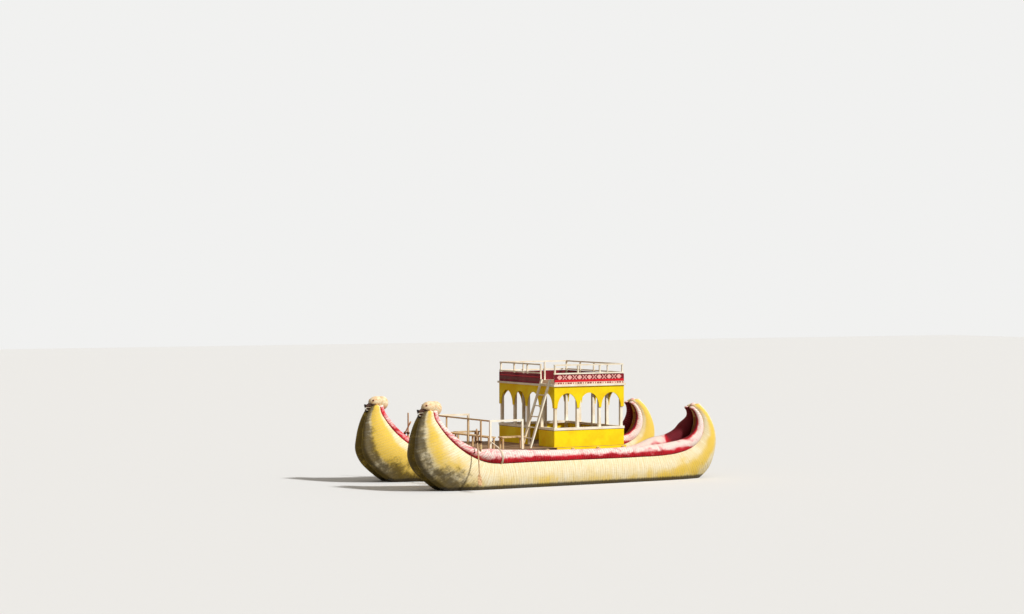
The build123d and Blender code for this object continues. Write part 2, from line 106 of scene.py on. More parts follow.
DECK_Z, DECK_HALF, FOREDECK_PLANKS = 1.16, 1.9, 15
BEAM_XS = [-2.15 + 0.95 * i for i in range(6)]
BEAM_TOP, BEAM_END = 1.13, 1.975


# ---- materials

def tones(colours):
    """Colours as seen, 0xRRGGBB, in the renderer's linear values."""
    out = []
    for colour in colours:
        parts = [(colour >> shift & 255) / 255 for shift in (16, 8, 0)]
        parts = [v / 12.92 if v <= 0.04045 else ((v + 0.055) / 1.055) ** 2.4 for v in parts]
        out.append((*parts, 1))
    return out


# The first colour is painted shade mixed with dirt, for the bow's lower front and keel side
DIRT_AND_SHADE, WET, SEAM = tones([0x4e3e18, 0x342a18, 0x2c1e14])
PAINT_ROUGHNESS = 0.55


def add_node(tree, kind, inputs, **settings):
    """A shader node with its settings, and its inputs set to values or linked to outputs."""
    made = tree.nodes.new("ShaderNode" + kind)
    for key, value in settings.items():
        setattr(made, key, value)
    for key, value in inputs.items():
        if hasattr(value, "is_output"):
            tree.links.new(value, made.inputs[key])
        elif value is not None:
            made.inputs[key].default_value = value
    return made


class Nodes:
    """Short names for the nodes of one material."""

    def __init__(self, name, roughness=0.8, specular=0.25):
        self.material = bpy.data.materials.new(name)
        self.material.use_nodes = True
        self.tree = self.material.node_tree
        self.shader = self.tree.nodes["Principled BSDF"]
        self.shader.inputs["Roughness"].default_value = roughness
        self.shader.inputs["Specular IOR Level"].default_value = specular

    def node(self, kind, inputs={}, **settings):
        return add_node(self.tree, kind, inputs, **settings)

    def attribute(self, name):
        return self.node("Attribute", attribute_name=name).outputs["Fac"]

    def place(self):
        return self.node("TexCoord").outputs["Object"]

    def split(self, vector):
        return self.node("SeparateXYZ", {0: vector}).outputs

    def math(self, operation, a, b=0.0):
        return self.node("Math", {0: a, 1: b}, operation=operation).outputs[0]

    def times(self, a, b):
        return self.math("MULTIPLY", a, b)

    def plus(self, total, *others):
        for other in others:
            total = self.math("ADD", total, other)
        return total

    def centred(self, pattern, share):
        """How far a pattern departs from its middle, 0.5, times share."""
        return self.times(self.math("SUBTRACT", pattern, 0.5), share)

    def stretch(self, vector, scale):
        return self.node("VectorMath", {0: vector, 1: scale}, operation="MULTIPLY").outputs[0]

    def noise(self, vector, scale, detail=2.0, rough=0.5):
        inputs = {"Vector": vector, "Scale": scale, "Detail": detail, "Roughness": rough}
        return self.node("TexNoise", inputs).outputs["Fac"]

    def weave(self, fine_along, fine_around, detail=2.0, rough=0.5, offset=0.0):
        """Noise that follows a bundle, with its own fineness along and around it."""
        along = self.times(self.attribute("along"), fine_along)
        around = self.times(self.attribute("around"), fine_around)
        joined = self.node("CombineXYZ", {0: along, 1: around, 2: offset})
        return self.noise(joined.outputs[0], 1.0, detail, rough)

    def span(self, value, low, high, to_low=0.0, to_high=1.0):
        """to_low below low and to_high above high, with a smooth step between."""
        inputs = {0: value, 1: low, 2: high, 3: to_low, 4: to_high}
        return self.node("MapRange", inputs, interpolation_type="SMOOTHSTEP").outputs["Result"]

    def mix(self, share, a, b):
        return self.node("Mix", {0: share, 6: a, 7: b}, data_type="RGBA").outputs[2]

    def coats(self, colour, *coats):
        """A colour under others, each a tone and the span of a pattern that shows it."""
        for tone, *span in coats:
            colour = self.mix(self.span(*span), colour, tone)
        return colour

    def bump(self, height, strength, distance, under=None):
        inputs = {"Height": height, "Strength": strength, "Distance": distance, "Normal": under}
        return self.node("Bump", inputs).outputs[0]

    def shade_and_soil(self, colour, low, stains):
        """The colour with painted shade mixed with dirt on the bow's lower front and the keel's
        side, darker towards the bottom, with stains and a wet line; and how damp it is.
        """
        at = self.place()
        # Painted shade mixed with dirt on the bow's lower front and the keel's side
        forward = self.span(self.split(at)[0], 3.0, 4.6)
        bow = self.times(forward, self.span(low, 0.35, 1.25, 1.0, 0.0))
        shade_and_dirt = self.plus(
            self.math("MAXIMUM", bow, self.attribute("keel")), self.span(low, 0.05, 0.4, 0.35, 0.0),
            self.centred(stains, 0.9), self.centred(self.noise(at, 3.4, 6.0, 0.68), 1.9),
        )
        colour = self.coats(colour, (DIRT_AND_SHADE, shade_and_dirt, 0.35, 1.0, 0.0, 0.84))
        damp = self.span(low, 0.08, 0.16, 0.92, 0.0)
        return self.mix(damp, colour, WET), damp

    def finish(self, colour, normal=None, roughness=None):
        for key, value in {"Base Color": colour, "Normal": normal, "Roughness": roughness}.items():
            if value is not None:
                self.tree.links.new(value, self.shader.inputs[key])
        return self.material


def reed_material(name, *colours):
    """Straw: fibres along the bundle, bands between the ropes, stains, painted shade mixed with
    dirt at the bow, and a wet line.
    """
    light, mid, ochre, dark = tones(colours)
    n = Nodes(name, roughness=0.75)
    fibre = n.weave(3.0, 90.0, 3.0)
    bands = n.weave(13.0, 1.8, 4.0, 0.7)
    stains = n.weave(9.0, 2.6, 6.0, 0.8, offset=4.0)
    patches = n.noise(n.place(), 1.3, 3.0, 0.6)
    low = n.math("SUBTRACT", n.split(n.place())[2], n.centred(bands, 0.12))
    gold = n.plus(n.attribute("ends"), n.span(low, 0.1, 0.6, 0.3, 0.0), n.centred(patches, 1.1))
    colour = n.coats(
        mid, (light, bands, 0.35, 0.65), (ochre, gold, 0.1, 0.55, 0.0, 0.9),
        (dark, stains, 0.56, 0.74, 0.0, 0.32), (dark, fibre, 0.25, 0.6, 0.2, 0.0),
    )
    colour, damp = n.shade_and_soil(colour, low, stains)
    normal = n.bump(n.weave(30.0, 14.0), 0.3, 0.003, n.bump(fibre, 0.4, 0.003))
    return n.finish(colour, normal, n.span(damp, 0.0, 0.92, 0.8, 0.4))


def dyed_material(name, *colours):
    """Dyed reed: crimson below, bleached to pink and cream where the sun falls, and dark maroon
    painted shade where the fade is below zero.
    """
    red, deep, pale, cream, shaded_maroon = tones(colours)
    n = Nodes(name)
    fade = n.attribute("fade")
    fibre = n.weave(4.0, 110.0, 3.0)
    streaks = n.weave(5.0, 5.5, 6.0, 0.85)
    blots = n.weave(2.6, 4.0, 5.0, 0.65, offset=7.0)
    patches = n.noise(n.place(), 1.9, 3.0, 0.6)
    worn = n.plus(fade, n.centred(streaks, 2.0), n.centred(blots, 1.8), n.centred(patches, 0.5))
    # Fade below zero paints shade in dark maroon
    colour = n.coats(
        deep, (red, patches, 0.35, 0.65), (shaded_maroon, fade, -0.5, -0.1, 1.0, 0.0),
        (pale, worn, 0.25, 0.6), (cream, worn, 0.55, 0.95), (deep, fibre, 0.25, 0.6, 0.3, 0.0),
    )
    return n.finish(colour, n.bump(fibre, 0.5, 0.004))


def rope_material(name, *colours, shaded_and_soiled=False):
    """Twisted rope, which, where asked, shares the painted shade and dirt that darken the reeds it
    binds.
    """
    light, dark = tones(colours)
    n = Nodes(name, roughness=0.9)
    lay = n.noise(n.stretch(n.place(), (60, 60, 60)), 1.0, 3.0)
    colour = n.coats(dark, (light, lay, 0.3, 0.7))
    if shaded_and_soiled:
        colour, _ = n.shade_and_soil(colour, n.split(n.place())[2], lay)
    return n.finish(colour, n.bump(lay, 0.6, 0.002))


def paint_material(name, *colours, wear):
    """Brushed paint on timber, thin in patches and bare at knocks."""
    fresh, worn, wood = tones(colours)
    n = Nodes(name, PAINT_ROUGHNESS)
    at = n.place()
    cloud = n.noise(at, 2.2, 4.0, 0.6)
    brush = n.noise(n.stretch(at, (9, 9, 70)), 1.0, 3.0)
    chips = n.plus(n.noise(at, 26.0, 5.0, 0.75), n.times(cloud, 0.25))
    bare = n.span(chips, 0.86 - 0.12 * wear, 0.95 - 0.1 * wear)
    colour = n.coats(fresh, (worn, cloud, 0.35, 0.7), (worn, brush, 0.55, 0.8, 0.0, 0.35))
    colour = n.mix(bare, colour, wood)
    normal = n.bump(n.math("SUBTRACT", brush, bare), 0.3, 0.0015)
    rough = n.span(cloud, 0.3, 0.7, PAINT_ROUGHNESS, PAINT_ROUGHNESS + 0.2)
    return n.finish(colour, normal, rough)


def wood_material(name, *colours, grain=(2.0, 45.0, 45.0), board=None):
    """Weathered boards: grain along one axis, grey where rain and feet reach.

    board gives the width of deck planks, each of which has a tone of its own."""
    light, dark, grey = tones(colours)
    n = Nodes(name)
    at = n.place()
    facing = n.split(n.node("NewGeometry").outputs["True Normal"])[2]
    flat = n.math("GREATER_THAN", n.math("ABSOLUTE", facing), 0.5)
    lying = n.noise(n.stretch(at, grain), 1.0, 4.0, 0.6)
    upright = n.noise(n.stretch(at, (30.0, 30.0, 2.0)), 1.0, 4.0, 0.6)
    lines = n.plus(n.times(lying, flat), n.times(upright, n.math("SUBTRACT", 1.0, flat)))
    cloud = n.noise(at, 1.7, 3.0, 0.6)
    colour = n.coats(dark, (light, lines, 0.3, 0.7), (grey, cloud, 0.35, 0.7, 0.0, 0.6))
    relief = lines
    if board:
        count = n.math("DIVIDE", n.plus(n.split(at)[1], DECK_HALF), board)
        tone = n.node("TexWhiteNoise", {"W": n.math("FLOOR", count)}, noise_dimensions="1D")
        colour = n.coats(colour, (dark, tone.outputs["Value"], 0.0, 1.0, 0.0, 0.6))
        edge = n.math("ABSOLUTE", n.math("SUBTRACT", n.math("FRACT", count), 0.5))
        seam = n.span(edge, 0.475, 0.49)
        colour = n.mix(seam, colour, SEAM)
        relief = n.math("SUBTRACT", lines, n.times(seam, 3.0))
    return n.finish(colour, n.bump(relief, 0.5, 0.002))


def knot_material(name, *colours):
    """Reeds gathered over a knot: warm mottling, and fine strands from pole to pole."""
    light, dark, warm = tones(colours)
    n = Nodes(name)
    at = n.place()
    mottle = n.noise(n.stretch(at, (11.0, 11.0, 16.0)), 1.0, 5.0, 0.7)
    strands = n.noise(n.stretch(at, (14.0, 120.0, 120.0)), 1.0, 3.0)
    colour = n.coats(
        dark, (light, mottle, 0.35, 0.62), (warm, n.noise(at, 3.0, 3.0, 0.6), 0.4, 0.7, 0.0, 0.7),
        (dark, strands, 0.3, 0.6, 0.35, 0.0),
    )
    return n.finish(colour, n.bump(strands, 0.5, 0.003, n.bump(mottle, 0.4, 0.006)))


def plain_material(name, *colours, roughness=0.5, scale=20.0, depth=0.001):
    """A small painted or carved detail, mottled between two near colours."""
    n = Nodes(name, roughness)
    cloud = n.noise(n.place(), scale, 3.0, 0.6)
    a, b = tones(colours)
    return n.finish(n.coats(a, (b, cloud, 0.3, 0.7)), n.bump(cloud, 0.3, depth))


BOARD_TONES = 0xf0d098, 0xb08050
MATERIALS = {
    "reed": reed_material("reed_skin", 0xfdf2d0, 0xf4e0ac, 0xf6ce42, 0xa07a42),
    # The core's browns are painted shade on the straw reeds in the hollow between the rolls
    "core": reed_material("shaded_core_reed", 0xb07a2c, 0x925c1c, 0x966414, 0x46280e),
    # The dyed reed's last colour is dark maroon painted shade
    "dyed": dyed_material("dyed_reed", 0xec1a32, 0xb20c20, 0xf6a6a4, 0xfff0e4, 0x5c081a),
    "knot": knot_material("knotted_reed", 0xfff6d4, 0xe2b074, 0xfadcb0),
    "tip": knot_material("pale_reed", 0xffece0, 0xe2968a, 0xfad6c8),
    "rope": rope_material("grass_rope", 0xf4e0ac, 0xd6b476, shaded_and_soiled=True),
    "red_rope": rope_material("dyed_rope", 0xce7874, 0x923438),
    "pale_rope": rope_material("pale_rope", 0xf8ead2, 0xc4a886),
    "dark_rope": rope_material("dark_rope", 0x704a2e, 0x342016),
    "yellow": paint_material("yellow_paint", 0xffe200, 0xface00, 0xcea03c, wear=0.3),
    "white": paint_material("white_paint", 0xfff8e4, 0xf0debe, 0x9c744c, wear=0.7),
    "band": paint_material("band_paint", 0x861020, 0x620a18, 0x54281a, wear=0.3),
    "deck": wood_material(
        "deck_boards", 0xc49c6e, 0x704c30, 0xa69682, board=2 * DECK_HALF / FOREDECK_PLANKS),
    "wood": wood_material("boards", *BOARD_TONES, 0xdec6a0),
    "cross_wood": wood_material("cross_boards", *BOARD_TONES, 0xdac4a0, grain=(45.0, 2.0, 45.0)),
    "pole": wood_material("poles", 0xe8c290, 0x9e6e46, 0xceb494, grain=(30.0, 30.0, 3.0)),
    "stripe": plain_material("stripe_paint", 0xe61022, 0xce0c1e),
    "motif": plain_material("motif_paint", 0xfcccbe, 0xeea498),
    "pale_stripe": plain_material("pale_stripe_paint", 0xffe8d0, 0xf6ceb4),
    "fret": plain_material("fret_paint", 0x704228, 0x54281c),
    # A brown painted shadow, for the strips under the sills
    "shade": plain_material("sill_shadow_paint", 0x784a1e, 0x563214),
    # The snout's dark brown is painted shade over the reed
    "snout": plain_material(
        "shaded_snout_reed", 0x5c3c28, 0x301e16, roughness=0.6, scale=26.0, depth=0.003),
    "lid": plain_material("lid_paint", 0xce805c, 0xa4583e),
    "nose": plain_material("black_paint", 0x161414, 0x282220, roughness=0.45),
    "tooth": plain_material("tooth_paint", 0xfff6de, 0xecdcba, roughness=0.4),
    "mouth": plain_material("mouth_paint", 0x782228, 0x4a1218),
    "nail": plain_material("nail_heads", 0x60544c, 0x3c2e26),
}
SLOTS = {
    "reed": "reed core knot lid snout nose tooth mouth", "dyed_reed": "dyed tip",
    "rope": "rope red_rope pale_rope dark_rope", "yellow_paint": "yellow",
    "white_paint": "white", "patterned_board": "band stripe motif pale_stripe fret",
    "bare_wood": "deck wood cross_wood pole shade nail",
}
SLOT_OF = {look: slot for slot, looks in SLOTS.items() for look in looks.split()}


# ---- mesh helpers

def add_object(name, data):
    made = bpy.data.objects.new(name, data)
    bpy.context.scene.collection.objects.link(made)
    return made


def add_piece(name, verts, faces, look, body="boat", replaces=(), attributes={}, smooth=True):
    """A mesh piece in the shared frame, with its finish, its body and what it stands for."""
    mesh = bpy.data.meshes.new(name)
    mesh.from_pydata([tuple(v) for v in verts], [], faces)
    mesh.validate()
    for key, values in attributes.items():
        layer = mesh.attributes.new(key, "FLOAT", "POINT")
        layer.data.foreach_set("value", np.asarray(values, dtype=np.float32))
    mesh.polygons.foreach_set("use_smooth", [smooth] * len(mesh.polygons))
    mesh.update()
    piece = add_object(name, mesh)
    mesh.materials.append(MATERIALS[look])
    if replaces:
        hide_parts(*replaces)
    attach(piece, body)


UPRIGHT, FORWARD = Vector((0, 0, 1)), Vector((1, 0, 0))


def circle(count):
    """Cosine and sine at each of count even steps round a circle."""
    return [(cos(tau * k / count), sin(tau * k / count)) for k in range(count)]


# The corners of a box's section with its edges planed off, of four places along each side
OCTAGON = (1, 0), (2, 0), (3, 1), (3, 2), (2, 3), (1, 3), (0, 2), (0, 1)


class Builder:
    """Gathers several shapes into one mesh."""

    def __init__(self):
        self.verts, self.faces = [], []

    def grid(self, rings, caps=True):
        """Quads between rings of points, each ring closed on itself, and a cap at each end."""
        start, count = len(self.verts), len(rings[0])
        for ring in rings:
            self.verts.extend(tuple(p) for p in ring)
        for i in range(len(rings) - 1):
            for j in range(count):
                a = start + i * count + j
                b = start + i * count + (j + 1) % count
                self.faces.append((a, b, b + count, a + count))
        if caps:
            self.faces.append(tuple(range(start + count - 1, start - 1, -1)))
            end = start + (len(rings) - 1) * count
            self.faces.append(tuple(range(end, end + count)))

    def tube(self, path, radius, sides=8, closed=False):
        """A round tube along a path of points, with one radius or a list of them."""
        path = [Vector(p) for p in path]
        total = len(path)
        radii = radius if isinstance(radius, list) else [radius] * total
        rings, across = [], None
        for i, point in enumerate(path):
            before = path[(i - 1) % total] if closed or i else path[0]
            after = path[(i + 1) % total] if closed or i < total - 1 else path[-1]
            tangent = (after - before).normalized()
            if across is None:
                across = tangent.orthogonal().normalized()
            across = (across - tangent * across.dot(tangent)).normalized()
            other = tangent.cross(across)
            rings.append([point + (across * c + other * s) * radii[i] for c, s in circle(sides)])
        if closed:
            rings.append(rings[0])
        self.grid(rings, caps=not closed)

    def bar(self, low, high, bevel=0.003):
        """A box with its edges planed off."""
        z0, z1 = low[2], high[2]
        rings = []
        for z, inset in ((z0, bevel), (z0 + bevel, 0), (z1 - bevel, 0), (z1, bevel)):
            xs, ys = (
                (a + inset, a + bevel + inset, b - bevel - inset, b - inset)
                for a, b in zip(low[:2], high[:2])
            )
            rings.append([(xs[i], ys[j], z) for i, j in OCTAGON])
        self.grid(rings)

    def piece(self, name, look, **kept):
        add_piece(name, self.verts, self.faces, look, **kept)


# ---- reed hulls

def middle_line(station):
    return (station[TOP] + station[KEEL]) / 2


def top_line(station):
    return station[TOP]


def keel_line(station):
    return station[KEEL]


def distances(points):
    """How far each point is along the line of them all."""
    steps = np.linalg.norm(np.diff(points, axis=0), axis=1)
    return np.concatenate([[0], np.cumsum(steps)])


LENGTHS = distances([middle_line(station) for station in STATIONS])
SLOPES = np.gradient(STATIONS, LENGTHS, axis=0)


def station_at(s):
    """The hull's section values at a distance from the bow, on a smooth curve."""
    i = int(np.clip(np.searchsorted(LENGTHS, s) - 1, 0, len(LENGTHS) - 2))
    gap = LENGTHS[i + 1] - LENGTHS[i]
    t = (s - LENGTHS[i]) / gap
    return (
        (2 * t**3 - 3 * t**2 + 1) * STATIONS[i] + (t**3 - 2 * t**2 + t) * gap * SLOPES[i]
        + (3 * t**2 - 2 * t**3) * STATIONS[i + 1] + (t**3 - t**2) * gap * SLOPES[i + 1]
    )


def ease(low, high, value):
    """0 at low to 1 at high, where high may be the smaller number."""
    t = np.clip((value - low) / (high - low), 0, 1)
    return t * t * (3 - 2 * t)


def line(a, b, steps):
    """Points on the way from a to b, without b itself."""
    return [
        (a[0] + (b[0] - a[0]) * k / steps, a[1] + (b[1] - a[1]) * k / steps)
        for k in range(steps)
    ]


def arc(a, m, b, steps):
    """Points on the arc from a through m towards b, without b itself."""
    ax, ay, bx, by, cx, cy = *a, *m, *b
    d = 2 * (ax * (by - cy) + bx * (cy - ay) + cx * (ay - by))
    aa, bb, cc = ax**2 + ay**2, bx**2 + by**2, cx**2 + cy**2
    ux = (aa * (by - cy) + bb * (cy - ay) + cc * (ay - by)) / d
    uy = (aa * (cx - bx) + bb * (ax - cx) + cc * (bx - ax)) / d
    radius = sqrt((ax - ux) ** 2 + (ay - uy) ** 2)
    first, through, last = (np.arctan2(y - uy, x - ux) for x, y in (a, m, b))
    turn = (last - first) % tau
    if (through - first) % tau > turn:
        turn -= tau
    return [
        (ux + radius * cos(first + turn * k / steps), uy + radius * sin(first + turn * k / steps))
        for k in range(steps)
    ]


def seat_ends(width, high):
    """The inner and outer ends of the flat seat on top of a bundle."""
    return (SEAT_INNER * width, high), (SEAT_OUTER * width, SEAT_RISE * high)


def bundle_outline(width, high, _):
    s0, s1 = seat_ends(width, high)
    bilge, foot = (0.5 * width, -0.75 * high), (0.14 * width, -0.93 * high)
    top, bottom = (0, GROOVE_TOP * high), (0, GROOVE_BOTTOM * high)
    return (
        line(bottom, top, 2) + line(top, s0, 2) + line(s0, s1, 2)
        + arc(s1, (0.69 * width, 0.15 * high), bilge, 13)
        + arc(bilge, (0.3 * width, -high), foot, 6) + line(foot, bottom, 1)
    )


def roll_outline(rise, side):
    """The outer roll is full amidships and round the thole post's foot.

    To port, the inner one stands higher abaft the cabin."""
    def lift_at(x, z):
        if rise == OUTER_RISE:
            post = POST_LIFT * ease(2.95, 3.25, x) * ease(3.55, 3.4, x)
            return AMIDSHIPS_LIFT * ease(-4.2, -2.6, x) * ease(2.6, 1.4, x) + post
        return ABAFT_LIFT * ease(2.1, 1.4, z) * ease(-2.6, -4.0, x) * (side > 0)

    def outline(width, high, station):
        s0, s1 = seat_ends(width, high)
        crown = (0.4 * width, high + station[rise] + lift_at(*station[TOP]))
        return arc(s1, crown, s0, 17)[::-1] + [s0]
    return outline


def wedge_outline(corner_x, corner_rise, low, crown_rise):
    """A wedge that fills the groove from low to its corners, under a rounded crown."""
    def outline(width, high, _):
        cx, cy = corner_x * width, corner_rise * high
        point = (0, low * high)
        crown = (0, (high if cy > 0 else -high) + crown_rise * width)
        a, b = (cx, cy), (-cx, cy)
        return line(point, a, 2) + arc(a, crown, b, 8) + line(b, point, 2)
    return outline


def hull_points(station, points, side):
    """Points of a section's plane, in the shared frame; side mirrors the hull."""
    up = station[TOP] - station[KEEL]
    up = up / np.linalg.norm(up)
    x, z = middle_line(station)
    return [(x + up[0] * h, side * (HULL_Y + y), z + up[1] * h) for y, h in points]


def section_ring(s, outline, mirror, grow):
    """The outline at distance s, grown outward, as local points with their perimeter."""
    station = station_at(s)
    high = np.linalg.norm(station[TOP] - station[KEEL]) / 2
    points = np.array([(x * mirror, y) for x, y in outline(station[WIDTH], high, station)])
    ahead, behind = np.roll(points, -1, axis=0), np.roll(points, 1, axis=0)
    tangent = ahead - behind
    normal = np.stack([tangent[:, 1], -tangent[:, 0]], axis=1)
    normal /= np.linalg.norm(normal, axis=1)[:, None]
    area = np.sum(points[:, 0] * ahead[:, 1] - ahead[:, 0] * points[:, 1])
    normal *= 1 if area > 0 else -1
    return station, points + normal * grow, distances(points)


def wrap_places(start, end, seed, pace):
    """Where the ropes go round, hand-spaced along the line that pace takes from a station."""
    draw = random.Random(seed)
    places, s = [], start + 0.02
    while s < end - 0.02:
        places.append(s)
        step = pace(station_at(s + WRAP_STRIDE)) - pace(station_at(s))
        rate = np.linalg.norm(step) / WRAP_STRIDE
        s += WRAP_PITCH * draw.uniform(0.82, 1.18) / max(rate, 0.35)
    return places


def swell_samples(start, end, places):
    """Distances along a bundle, with how far it swells there: not at all under a rope."""
    samples = [(start, 0.0)]
    for a, b in zip(places, places[1:] + [end]):
        samples.append((a, 0.0))
        samples += [(a + (b - a) * share, swell) for share, swell in SWELL]
    return samples + [(end, 0.0)]


def keel_share(station, points):
    """How far a bow's section is on the side of the keel, where the reeds get painted shade mixed
    with dirt.
    """
    forward = ease(3.2, 4.9, middle_line(station)[0])
    return forward * ease(-0.1, -0.85, points[:, 1] / points[:, 1].max())


def round_end(rim, before, height, bleached):
    """Rings that close a bundle in a dome beyond its rim; height is negative at the bow."""
    points = np.array(rim["points"])
    middle = points.mean(axis=0)
    heading = middle - np.array(before["points"]).mean(axis=0)
    heading /= np.linalg.norm(heading)
    return [
        {
            **rim, "points": middle + (points - middle) * share + heading * out * abs(height),
            "along": rim["along"] + out * height, "fade": np.full(len(points), float(bleached)),
        }
        for share, out in DOME
    ]


def reed_bundle(name, stands_for, side, outline, mirror, reach, seed, looks, fade=None,
                domes=(0, 0), gold=0.0, pace=middle_line):
    """A bundle of reeds that swells between its ropes, and the ropes round it.

    reach is where it starts and ends along the hull; looks are its own and its ropes'."""
    places = wrap_places(*reach, seed, pace)
    rings = []
    for s, swell in swell_samples(*reach, places):
        grow = REED_BULGE * swell - SKIN_SINK
        station, points, around = section_ring(s, outline, mirror, grow)
        count, middle_x = len(points), middle_line(station)[0]
        rises = np.arange(count) / count
        end_share = ease(3.0, 5.0, abs(middle_x)) * (0.42 + gold) + 0.4 * gold
        rings.append({
            "points": hull_points(station, points, side),
            "along": np.full(count, float(s)),
            "around": around,
            "ends": end_share * (0.7 + 0.6 * np.cos(4 * pi * rises)),
            "fade": fade(rises, middle_x) if fade else np.zeros(count),
            "keel": keel_share(station, points),
        })
    if domes[0]:
        rings = round_end(rings[0], rings[1], -domes[0], bool(fade))[::-1] + rings
    if domes[1]:
        rings += round_end(rings[-1], rings[-2], domes[1], bool(fade))
    skin = Builder()
    skin.grid([ring["points"] for ring in rings])
    if side * mirror > 0:
        skin.faces = [face[::-1] for face in skin.faces]
    keys = ("along", "around", "ends", "fade", "keel")
    attributes = {key: np.concatenate([ring[key] for ring in rings]) for key in keys}
    skin.piece(name, looks[0], replaces=(stands_for,), attributes=attributes)

    # The ropes on the keel side share the reeds' painted shade and dirt
    ropes, shaded_and_soiled = Builder(), []
    for s in places:
        grow = ROPE_RADIUS * 0.6 - SKIN_SINK
        station, points, _ = section_ring(s, outline, mirror, grow)
        path = hull_points(station, points, side)
        ropes.tube(path, ROPE_RADIUS, sides=ROPE_SIDES, closed=True)
        share = keel_share(station, points)
        shaded_and_soiled.extend(np.repeat(np.append(share, share[0]), ROPE_SIDES))
    ropes.piece(name + "_ropes", looks[1], attributes={"keel": shaded_and_soiled})


def roll_fade(bleach):
    """How bleached a roll is round its outline: on top; below zero for painted shade inside the
    stern's curl and along its seam near the tip.
    """
    def fade(rises, middle_x):
        across = 1 - rises
        astern = ease(-4.35, -4.95, middle_x)
        tip, bow = ease(-4.6, -5.2, middle_x), ease(2.4, 3.8, middle_x)
        low = 0.22 - 0.36 * tip - 0.12 * bow
        high = 0.78 - 0.34 * astern
        past = ease(high, high + 0.14, across)
        # Painted shade inside the stern's curl and in the seam near the tip
        shaded_inside = past * astern
        seam = ease(0.16, 0.115, across) * ease(-5.0, -4.4, middle_x)
        up = ease(low, low + 0.16, across) * (1 - past)
        full = bleach + (0.95 - bleach) * ease(3.4, 1.5, middle_x)
        return up * full - 0.6 * shaded_inside - 0.7 * seam
    return fade


def crest_fade(rises, _):
    """The crest is cream along its ridge, partly bleach and partly a painted highlight, and red
    down its flanks.
    """
    return 1.2 * ease(0.2, 0.3, rises) * ease(0.84, 0.74, rises)


def build_hull(hull, side, seed):
    """The bundles, rolls, core and crest of one hull, each over the CAD part it stands for."""
    end, dyed = LENGTHS[-1], ("dyed", "red_rope")

    def bundle(name, part, draw, outline, sign, start, stop, looks, **kept):
        reed_bundle(f"{hull}_{name}_reeds", f"{hull}_{part}", side, outline, sign,
                    (start, stop), seed + draw, looks, **kept)

    for draw, half, sign, rise in ((0, "outer", 1, OUTER_RISE), (1, "inner", -1, INNER_RISE)):
        bundle(half, f"{half}_bundle", draw, bundle_outline, sign, 0, end, ("reed", "rope"),
               domes=(0.10, 0.06), gold=GOLD[side])
        roll = f"{half}_roll"
        bundle(roll, roll, draw + 2, roll_outline(rise, side), sign, 0, end, dyed,
               fade=roll_fade(BLEACH[side]), domes=(0.05, 0.05), pace=top_line)
    core_rise = GROOVE_TOP + (1 - GROOVE_TOP) * CORE_SHARE
    core = wedge_outline(SEAT_INNER * CORE_SHARE, core_rise, GROOVE_TOP, 0.1)
    bundle("core", "core_bundle", 4, core, 1, LENGTHS[3], LENGTHS[19], ("core", "dark_rope"),
           pace=top_line)
    crest_low = GROOVE_BOTTOM - CREST_DEPTH * CREST_SHARE
    crest = wedge_outline(CREST_WIDTH * CREST_SHARE, crest_low, GROOVE_BOTTOM, -0.19)
    bundle("crest", "stern_crest", 5, crest, 1, LENGTHS[18], end, dyed, fade=crest_fade,
           domes=(0.05, 0), pace=keel_line)


# ---- prow heads and knots

# Forms of the head: name, look, voxel, the CAD part it stands for, and its ellipsoids,
# each a centre, with y from the hull's middle, and three radii
HEAD_FORMS = (
    ("snout", "snout", 0.009, "prow_muzzle", (
        ((5.00, 0, 2.47), (0.14, 0.135, 0.10)), ((5.09, 0.0, 2.455), (0.12, 0.115, 0.075)),
        ((5.16, 0.0, 2.445), (0.1, 0.1, 0.055)), ((5.215, 0.042, 2.44), (0.055, 0.048, 0.044)),
        ((5.215, -0.042, 2.44), (0.055, 0.048, 0.044)),
    )),
    ("lower_jaw", "nose", 0.009, None, (
        ((5.06, 0, 2.30), (0.13, 0.1, 0.06)), ((5.14, 0, 2.285), (0.11, 0.085, 0.035)),
        ((5.21, 0, 2.285), (0.06, 0.065, 0.03)),
    )),
    ("mouth_roof", "mouth", 0.009, None, (
        ((5.07, 0, 2.375), (0.13, 0.075, 0.04)), ((5.05, 0, 2.335), (0.12, 0.07, 0.03)),
    )),
    ("nose", "nose", 0.005, None, (
        ((5.262, 0.02, 2.478), (0.025, 0.035, 0.028)),
        ((5.262, -0.02, 2.478), (0.025, 0.035, 0.028)), ((5.255, 0, 2.455), (0.02, 0.02, 0.025)),
    )),
)
TEETH_A_SIDE = 6
SMOOTHING_PASSES = 6
POINTS_PER_FLUTE = 6


